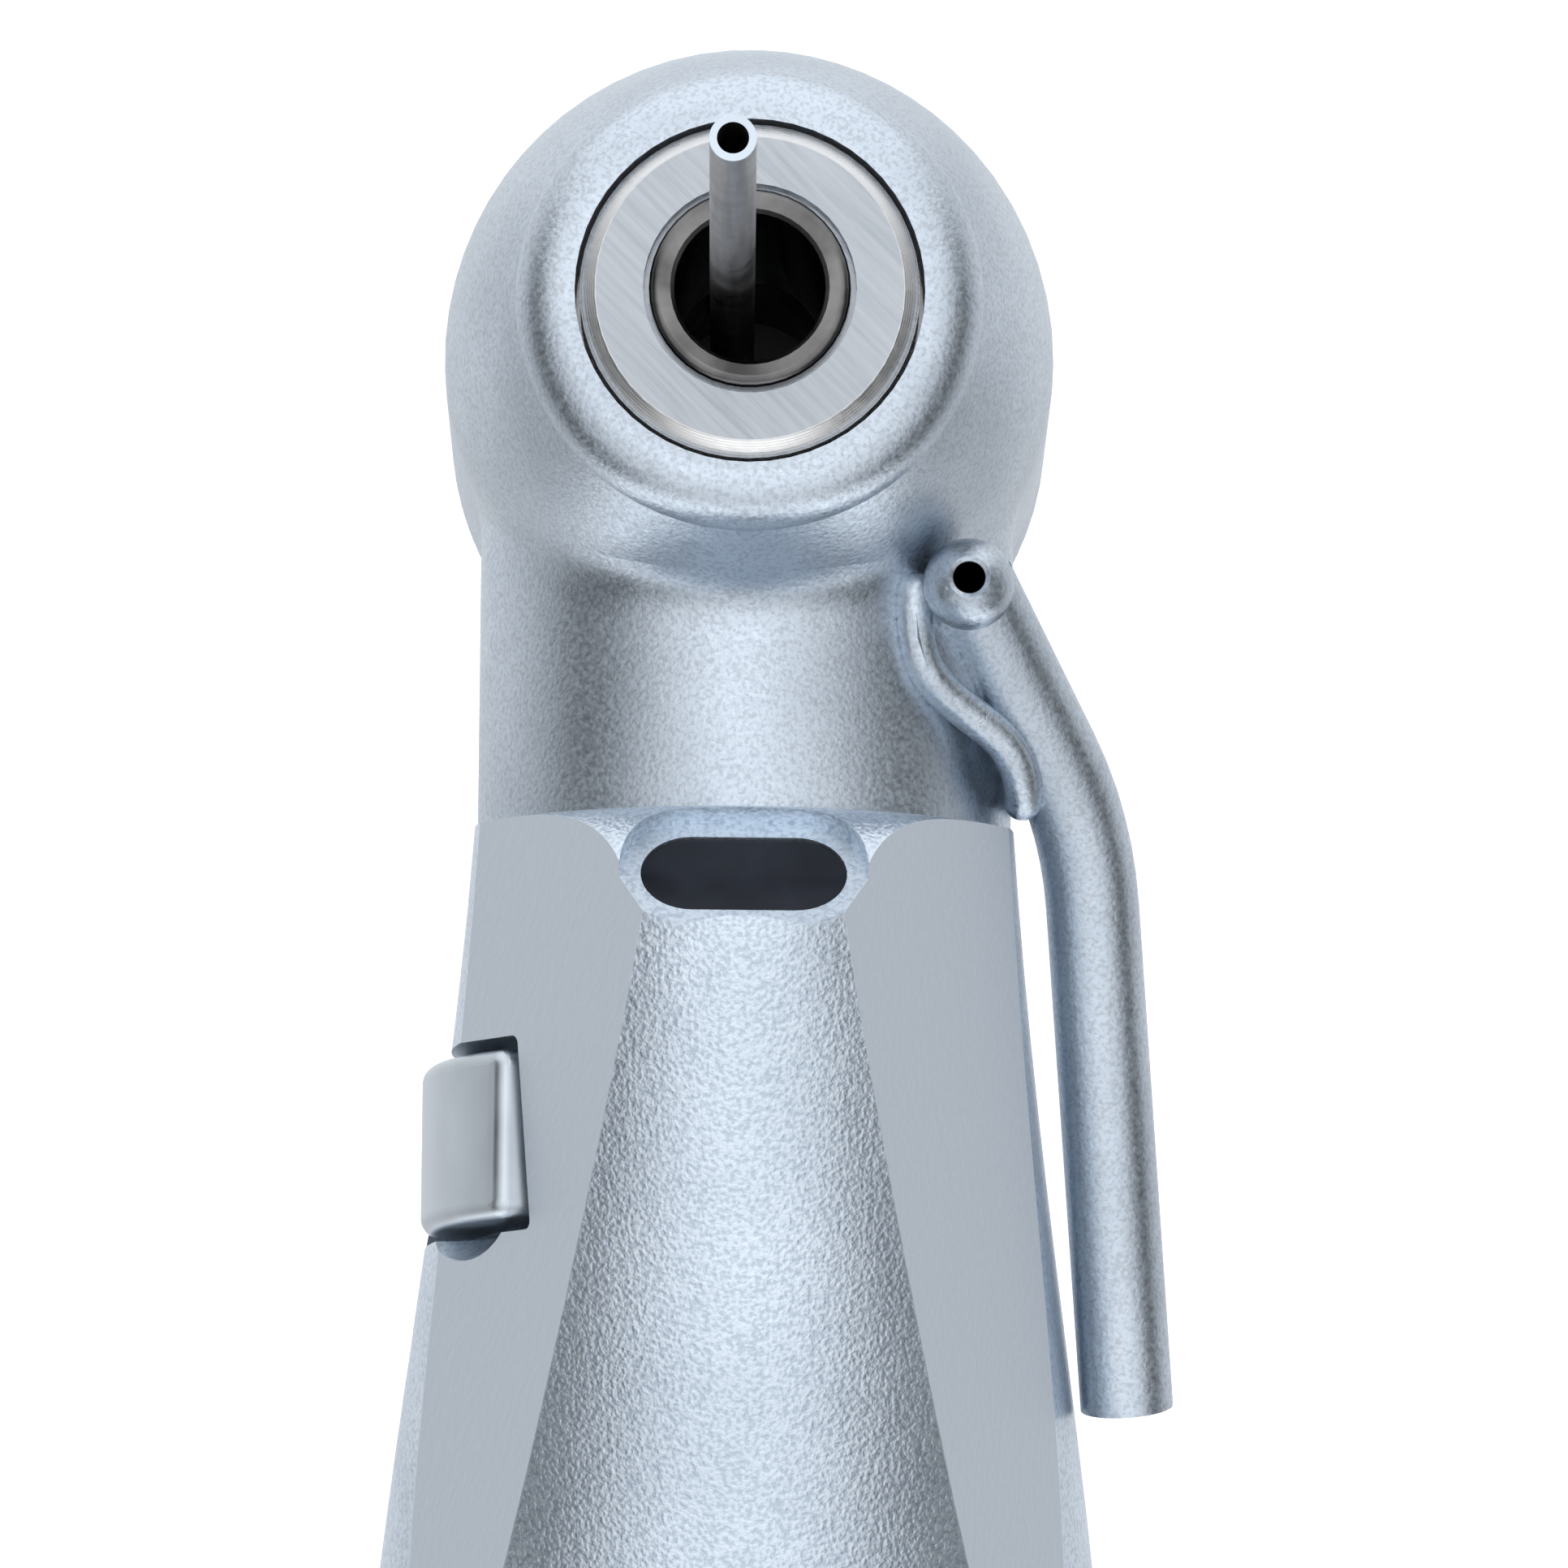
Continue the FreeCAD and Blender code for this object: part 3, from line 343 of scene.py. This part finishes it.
    def bump(self, height, distance, strength, before=None):
        made = self.node("Bump")
        made.inputs["Distance"].default_value = distance
        self.feed(made.inputs["Strength"], strength)
        self.link(height, made.inputs["Height"])
        if before is not None:
            self.link(before, made.inputs["Normal"])
        return made.outputs[0]

    def set(self, **values):
        """Feed the shader's own sockets."""
        for name, value in values.items():
            socket = self.shader.inputs[SOCKETS[name]]
            self.feed(socket, (*value, 1) if isinstance(value, tuple) else value)


def look(name):
    """The nodes of a new material."""
    return Nodes(bpy.data.materials.new(name), "Principled BSDF", "Object")


# materials
def blasted_grain(n, dark=None):
    """Fine bead-blasted steel: a satin sheen broken up by tiny dimples with painted shade in them;
    dark masks painted shade inside a bore.
    """
    grain = n.noise(GRAIN, 2)
    cloud = n.noise(350, 3)
    speck = n.noise(SPECKS, 1)
    colour = n.tint(n.middle(cloud), STEEL, STEEL_PALE)
    # painted shade in the dimples
    colour = n.tint(n.span(speck, 0.38, 0.52, DIMPLE_SHADE_SHARE, 0), colour, STEEL_DIMPLE_SHADE)
    # painted shade inside a bore
    if dark is not None:
        colour = n.tint(dark, colour, SHADOW)
    n.set(metallic=1.0, colour=colour, roughness=n.wide(grain, 0.3, 0.46))
    n.set(normal=n.bump(grain, 0.016 * MM, 0.5))


def blasted_steel(name):
    """The head, the neck and the spray tube."""
    n = look(name)
    blasted_grain(n)
    return n.owner


def nozzle_steel(name):
    """The spray nozzle's ball, with painted shade inside its drilled bore."""
    n = look(name)
    x, y, _ = n.split(n.local(NOZZLE, ACROSS, UP_FACE))
    # painted shade inside the nozzle's drilled bore
    blasted_grain(n, n.span(n.length(x, y), NOZZLE_BORE, NOZZLE_BORE * 1.06, 1, 0))
    return n.owner


def flat_mask(n):
    """1 on the two finger flats and 0 elsewhere."""
    shares = []
    for side in (-1, 1):
        lean = math.cos(FLAT_LEAN)
        outward = (side * math.sin(FLAT_ANGLE) * lean, -math.cos(FLAT_ANGLE) * lean)
        depth = n.along(BEND, Vector((*outward, math.sin(FLAT_LEAN))))
        off = n.math("ABSOLUTE", n.math("SUBTRACT", depth, FLAT_DISTANCE * lean))
        shares.append(n.span(off, FLAT_NEAR, FLAT_FAR, 1, 0))
    return n.math("MAXIMUM", *shares)


def front_mask(n):
    """1 on the front strip between the finger flats and 0 round the sides and back."""
    x, y, _ = n.split(n.coords)
    turn = n.math("ARCTAN2", n.math("ABSOLUTE", x), n.math("MULTIPLY", y, -1.0))
    return n.span(turn, FLAT_ANGLE * 0.96, FLAT_ANGLE * 1.04, 1, 0)


def collar_mask(n):
    """1 on the smooth collar round the light window and 0 elsewhere."""
    x, y, _ = n.split(n.local(COLLAR, ACROSS, COLLAR_UP))
    past = n.math("SUBTRACT", n.math("ABSOLUTE", x), COLLAR_HALF)
    away = n.length(n.math("MAXIMUM", past, 0.0), y)
    return n.span(away, COLLAR_RADIUS * 0.97, COLLAR_RADIUS * 1.03, 1, 0)


def sleeve_steel(name):
    """The sleeve: coarse peened steel in front with painted shade in its dimples, ground finger
    flats and satin sides.
    """
    n = look(name)
    flat = flat_mask(n)
    strip = n.math("MULTIPLY", front_mask(n), n.math("SUBTRACT", 1.0, flat))
    peel = n.noise(GRAIN, 1.5, roughness=0.4)
    fine = n.noise(FINEST, 2)
    lay = n.local(BEND, Vector((0.6, 0, 0.8)), Vector((0, 1, 0)))
    grain = n.noise(BRUSH, 2, vector=lay, stretch=(0.12, 1, 1))
    cloud = n.noise(420, 3)
    strip_colour = n.tint(n.middle(cloud), STRIP, STRIP_PALE)
    # painted shade in the peened dimples
    strip_colour = n.tint(n.span(peel, 0.38, 0.55, DIMPLE_SHADE_SHARE, 0), strip_colour, STRIP_DIMPLE_SHADE)
    flat_colour = n.tint(n.wide(grain), FLAT, FLAT_PALE)
    n.set(metallic=1.0, colour=n.tint(flat, strip_colour, flat_colour))
    n.set(roughness=n.mix(flat, n.wide(fine, 0.34, 0.46), n.wide(grain, 0.40, 0.5)))
    peened = n.math("MULTIPLY", strip, n.span(collar_mask(n), 0, 1, 0.7, 0.05))
    rough = n.bump(peel, 0.03 * MM, peened)
    rough = n.bump(fine, 0.008 * MM, n.span(flat, 0, 1, 0.5, 0.15), rough)
    n.set(normal=n.bump(grain, 0.006 * MM, n.span(flat, 0, 1, 0, 0.5), rough))
    return n.owner


def turned_steel(name):
    """Turned steel: tool marks round the chuck's axis, with diagonal brushing on the flat face."""
    n = look(name)
    streak = (ACROSS - UP_FACE).normalized()
    place = n.local(FACE, streak, OUT_CHUCK.cross(streak))
    x, y, _ = n.split(place)
    radius = n.length(x, y)
    rings = n.math("SINE", n.math("MULTIPLY", radius, 2 * math.pi / TOOL_MARKS))
    on_face = n.span(radius, FACE_RADIUS - FACE_EDGE, FACE_RADIUS + FACE_EDGE, 1, 0)
    brushed = n.noise(BRUSH, 3, vector=place, stretch=(0.06, 1, 1))
    ground = n.tint(n.wide(brushed), SPINDLE, SPINDLE_PALE)
    n.set(metallic=1.0, colour=n.tint(on_face, SPINDLE_EDGE, ground))
    n.set(roughness=n.wide(brushed, 0.24, 0.4))
    lines = n.bump(rings, 0.002 * MM, n.span(on_face, 0, 1, 0.4, 0.05))
    n.set(normal=n.bump(brushed, 0.01 * MM, n.span(on_face, 0, 1, 0.1, 0.5), lines))
    return n.owner


def polished_steel(name, colour, rough):
    """Smooth steel with faint handling marks."""
    n = look(name)
    smear = n.noise(900, 3)
    darker = tuple(value * 0.86 for value in colour)
    n.set(metallic=1.0, colour=n.tint(n.middle(smear), darker, colour))
    n.set(roughness=n.wide(smear, rough, rough + 0.1))
    n.set(normal=n.bump(n.noise(MARKS, 2), 0.004 * MM, 0.25))
    return n.owner


def shaded_bore_steel(name):
    """Polished at the lip, with painted shade: a dark lip, black inside the bore."""
    n = look(name)
    smear = n.noise(1200, 3)
    # painted shade: the lip darkens to black inside the bore
    inside = n.span(n.along(FACE, OUT_CHUCK), LIP_BOTTOM, LIP_TOP, 1, 0)
    lip = n.tint(n.middle(smear), LIP, LIP_PALE)
    n.set(metallic=1.0, colour=n.tint(inside, lip, SHADOW))
    n.set(roughness=n.wide(smear, 0.14, 0.24))
    n.set(normal=n.bump(smear, 0.004 * MM, 0.2))
    return n.owner


def tube_steel(name):
    """The drawn irrigation tube: dull and brownish, with lengthwise streaks and a pale cut end."""
    n = look(name)
    lengthwise = n.local(FACE, OUT_CHUCK, ACROSS)
    streak = n.noise(STREAKS, 2, vector=lengthwise, stretch=(0.06, 1, 1))
    smear = n.noise(1500, 3)
    cut = n.span(n.along(FACE, OUT_CHUCK), TIP_START, TIP_END, 0, 1)
    drawn = n.tint(n.wide(streak), TUBE, TUBE_PALE)
    drawn = n.tint(n.span(smear, 0.4, 0.7, 0, 0.35), drawn, TUBE_STAIN)
    n.set(metallic=1.0, colour=n.tint(cut, drawn, STEEL_PALE))
    n.set(roughness=n.wide(smear, 0.26, 0.42))
    n.set(normal=n.bump(streak, 0.006 * MM, 0.4))
    return n.owner


def dark_glass(name):
    """Near-black window glass over a dark light rod."""
    n = look(name)
    cloud = n.noise(900, 2)
    n.set(metallic=0.0, specular=0.3, colour=n.tint(n.wide(cloud), GLASS, GLASS_PALE))
    n.set(roughness=n.wide(cloud, 0.08, 0.16))
    return n.owner


def ring_enamel(name):
    """The enamelled ring on the handle."""
    n = look(name)
    cloud = n.noise(1400, 3)
    n.set(metallic=0.0, colour=n.tint(n.wide(cloud), ENAMEL, ENAMEL_PALE))
    n.set(roughness=n.wide(cloud, 0.25, 0.38))
    n.set(normal=n.bump(cloud, 0.01 * MM, 0.2))
    return n.owner


# the finish of each slot of the part, and of the three nodes that need their own; the chuck's jaws
# and plunger are near black as painted shade deep in the bore
FINISHES = {
    "blasted_steel": blasted_steel("blasted_steel_look"),
    "ground_steel": sleeve_steel("sleeve_steel_look"),
    "turned_steel": turned_steel("turned_steel_look"),
    "polished_steel": shaded_bore_steel("chuck_shaded_bore_look"),
    "gear_steel": polished_steel("gear_steel_look", GEAR, 0.3),
    "bearing_steel": polished_steel("bearing_steel_look", BEARING, 0.15),
    "spring_steel": polished_steel("spring_steel_look", SPRING, 0.25),
    "button_steel": polished_steel("button_steel_look", BUTTON, 0.3),
    "window_glass": dark_glass("window_glass_look"),
    "lamp_body": polished_steel("lamp_body_look", LAMP, 0.4),
    "ring_green": ring_enamel("ring_enamel_look"),
    "tube_steel": tube_steel("tube_steel_look"),
}
NODE_FINISHES = {
    "spray_nozzle": nozzle_steel("nozzle_steel_look"),
    "chuck_jaws": polished_steel("jaw_shade_look", JAW_SHADE, 0.3),
    "chuck_plunger": polished_steel("plunger_shade_look", JAW_SHADE, 0.3),
}


def dress_nodes():
    """Give every node of the part its own finish or that of its slot."""
    for node in frame["nodes"]:
        for slot in bpy.data.objects[node].material_slots:
            slot.material = NODE_FINISHES.get(node) or FINISHES[slot.material.name.split(".")[0]]


# studio
def make_floor():
    """A wide pale floor."""
    corners = [(x * FLOOR_HALF, y * FLOOR_HALF, 0) for x, y in ((-1, -1), (1, -1), (1, 1), (-1, 1))]
    mesh = bpy.data.meshes.new("studio_floor")
    mesh.from_pydata(corners, [], [(0, 1, 2, 3)])
    floor = bpy.data.objects.new("studio_floor", mesh)
    bpy.context.scene.collection.objects.link(floor)
    n = look("floor_look")
    n.set(colour=n.tint(n.noise(3, 2), FLOOR, FLOOR_PALE), roughness=0.8)
    n.set(glow=WHITE, glow_strength=FLOOR_GLOW)
    mesh.materials.append(n.owner)
    floor.visible_glossy = False


def light_world():
    """A white tent with a dark gap at each side, so that steel shows soft bands."""
    n = Nodes(bpy.data.worlds.new("tent"), "Background", "Generated")
    bpy.context.scene.world = n.owner
    _, y, z = n.split(n.coords)
    above = n.tint(n.ramp(z, TENT_OVERHEAD), n.ramp(y, TENT_ROUND), TENT_TOP)
    sides = n.tint(1.0, above, n.ramp(z, TENT_BELOW), "MULTIPLY")
    whole = n.tint(n.ramp(z, TENT_UNDER), sides, TENT_BOTTOM)
    n.link(n.tint(1.0, whole, TENT_TINT, "MULTIPLY"), n.shader.inputs["Color"])


def light_key():
    """A weak square soft light in front, above and a little left, that faces the head."""
    data = bpy.data.lights.new("key_light", "AREA")
    data.size = KEY_SIZE
    data.energy = KEY_POWER
    light = bpy.data.objects.new("key_light", data)
    light.location = KEY_PLACE
    light.rotation_mode = "QUATERNION"
    light.rotation_quaternion = (Vector(KEY_PLACE) - HEAD).to_track_quat("Z", "Y")
    bpy.context.scene.collection.objects.link(light)


place_camera()
dress_nodes()
make_floor()
light_world()
light_key()
bpy.context.scene.view_settings.view_transform = "Standard"
